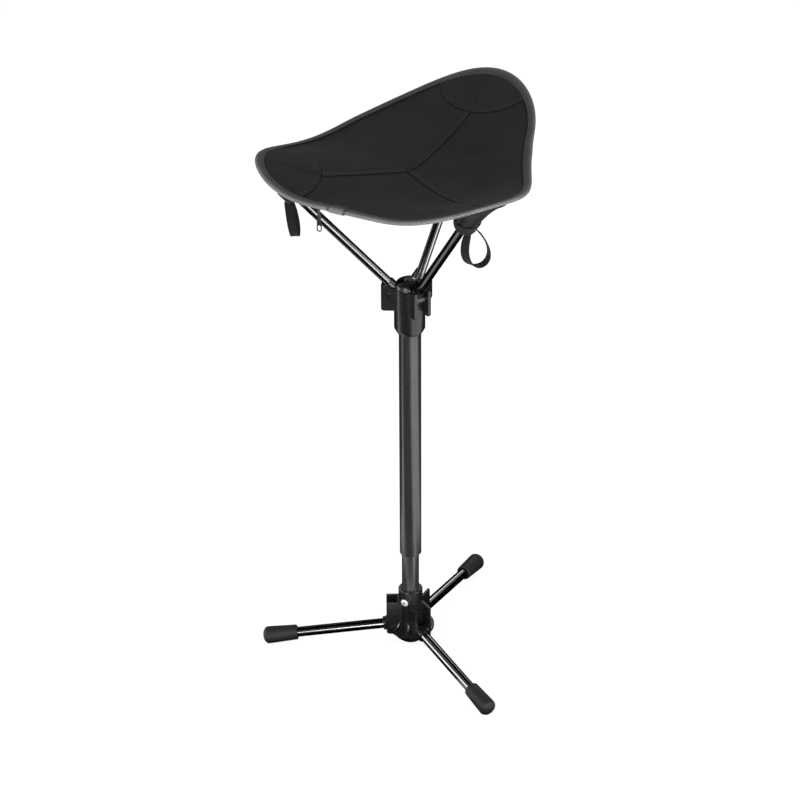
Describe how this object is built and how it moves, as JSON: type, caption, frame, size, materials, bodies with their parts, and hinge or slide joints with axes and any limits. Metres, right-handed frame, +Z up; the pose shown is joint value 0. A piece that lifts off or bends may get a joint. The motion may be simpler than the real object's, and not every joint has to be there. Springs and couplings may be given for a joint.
{
  "type": "collapsible telescopic stool",
  "caption": "Black tripod stool with a telescopic post, fold-up legs, fold-down arms and a three-cornered sling seat that pulls off the arm tips.",
  "frame": {"origin": "on the post's axis at ground level, on the flat under the lower hub", "axes": "+Z up along the post; -X towards the left leg; the other legs 120 degrees apart; the arms turned 3.6 degrees clockwise from the legs"},
  "size_m": [0.343, 0.3738, 0.7307],
  "materials": {
    "hub_plastic": "moulded, satin matte black",
    "glossy_tube": "glossy black anodised",
    "outer_post": "satin dark-grey anodised",
    "inner_post": "satin grey anodised",
    "foot_rubber": "matte black",
    "fastener_steel": "bright",
    "lock_plastic": "natural nylon",
    "seat_cloth": "matte black woven polyester",
    "binding_tape": "charcoal twill tape",
    "webbing": "black webbing",
    "zip_metal": "black enamel"
  },
  "bodies": {
    "base": {"lower_hub": "hub_plastic", "bottom_cup": "hub_plastic", "inner_tube": "inner_post", "collar_rivet": "fastener_steel", "lock_core": "lock_plastic", "leg_pin_left": "fastener_steel", "leg_pin_front": "fastener_steel", "leg_pin_back": "fastener_steel"},
    "lock": {"lock_sleeve": "lock_plastic"},
    "mast": {"outer_tube": "outer_post", "upper_hub": "hub_plastic", "hub_screw": "fastener_steel", "tube_plug": "hub_plastic", "tube_bush": "hub_plastic", "arm_pin_left": "fastener_steel", "arm_pin_front": "fastener_steel", "arm_pin_back": "fastener_steel"},
    "seat": {"seat_panel": "seat_cloth", "seat_binding": "binding_tape", "zip_tape": "webbing", "zip_slider": "zip_metal", "seat_pocket_left": "seat_cloth", "seat_pocket_front": "seat_cloth", "seat_pocket_back": "seat_cloth", "pull_loop_left": "webbing", "pull_loop_front": "webbing", "pull_loop_back": "webbing"},
    "zip_pull": {"zip_puller": "zip_metal"},
    "leg_left": {"leg_tube_left": "glossy_tube", "leg_knuckle_left": "hub_plastic", "leg_foot_left": "foot_rubber"},
    "arm_left": {"arm_tube_left": "glossy_tube", "arm_knuckle_left": "hub_plastic", "arm_cap_left": "hub_plastic"},
    "leg_front": {"leg_tube_front": "glossy_tube", "leg_knuckle_front": "hub_plastic", "leg_foot_front": "foot_rubber"},
    "arm_front": {"arm_tube_front": "glossy_tube", "arm_knuckle_front": "hub_plastic", "arm_cap_front": "hub_plastic"},
    "leg_back": {"leg_tube_back": "glossy_tube", "leg_knuckle_back": "hub_plastic", "leg_foot_back": "foot_rubber"},
    "arm_back": {"arm_tube_back": "glossy_tube", "arm_knuckle_back": "hub_plastic", "arm_cap_back": "hub_plastic"}
  },
  "joints": [
    {"name": "post_twist", "type": "hinge", "parent": "base", "child": "lock", "pos_m": [0, 0, 0.39631], "axis": [0, 0, 1], "range_deg": [-90, 90]},
    {"name": "post_slide", "type": "slide", "parent": "lock", "child": "mast", "axis": [0, 0, 1], "range_m": [-0.054, 0.14]},
    {"name": "leg_fold_left", "type": "hinge", "parent": "base", "child": "leg_left", "pos_m": [-0.026, 0, 0.02771], "axis": [0, 1, 0], "range_deg": [0, 96]},
    {"name": "leg_fold_front", "type": "hinge", "parent": "base", "child": "leg_front", "pos_m": [0.013, -0.02252, 0.02771], "axis": [-0.866, -0.5, 0], "range_deg": [0, 96]},
    {"name": "leg_fold_back", "type": "hinge", "parent": "base", "child": "leg_back", "pos_m": [0.013, 0.02252, 0.02771], "axis": [0.866, -0.5, 0], "range_deg": [0, 96]},
    {"name": "arm_fold_left", "type": "hinge", "parent": "mast", "child": "arm_left", "pos_m": [-0.02495, 0.00157, 0.51701], "axis": [-0.0628, -0.998, 0], "range_deg": [0, 136], "deforming": ["seat_pocket_left", "pull_loop_left"]},
    {"name": "arm_fold_front", "type": "hinge", "parent": "mast", "child": "arm_front", "pos_m": [0.01112, -0.02239, 0.51701], "axis": [0.8957, 0.4446, 0], "range_deg": [0, 141], "deforming": ["seat_pocket_front", "pull_loop_front"]},
    {"name": "arm_fold_back", "type": "hinge", "parent": "mast", "child": "arm_back", "pos_m": [0.01384, 0.02082, 0.51701], "axis": [-0.8329, 0.5534, 0], "range_deg": [0, 142], "deforming": ["seat_pocket_back", "pull_loop_back"]},
    {"name": "seat_lift", "type": "slide", "parent": "mast", "child": "seat", "axis": [0, 0, 1], "range_m": [0, 0.12], "deforming": ["seat_pocket_left", "pull_loop_left", "seat_pocket_front", "pull_loop_front", "seat_pocket_back", "pull_loop_back"]},
    {"name": "zip_swing", "type": "hinge", "parent": "seat", "child": "zip_pull", "pos_m": [-0.10537, -0.07769, 0.6705], "axis": [0.5934, -0.8049, 0], "range_deg": [-40, 40]}
  ]
}
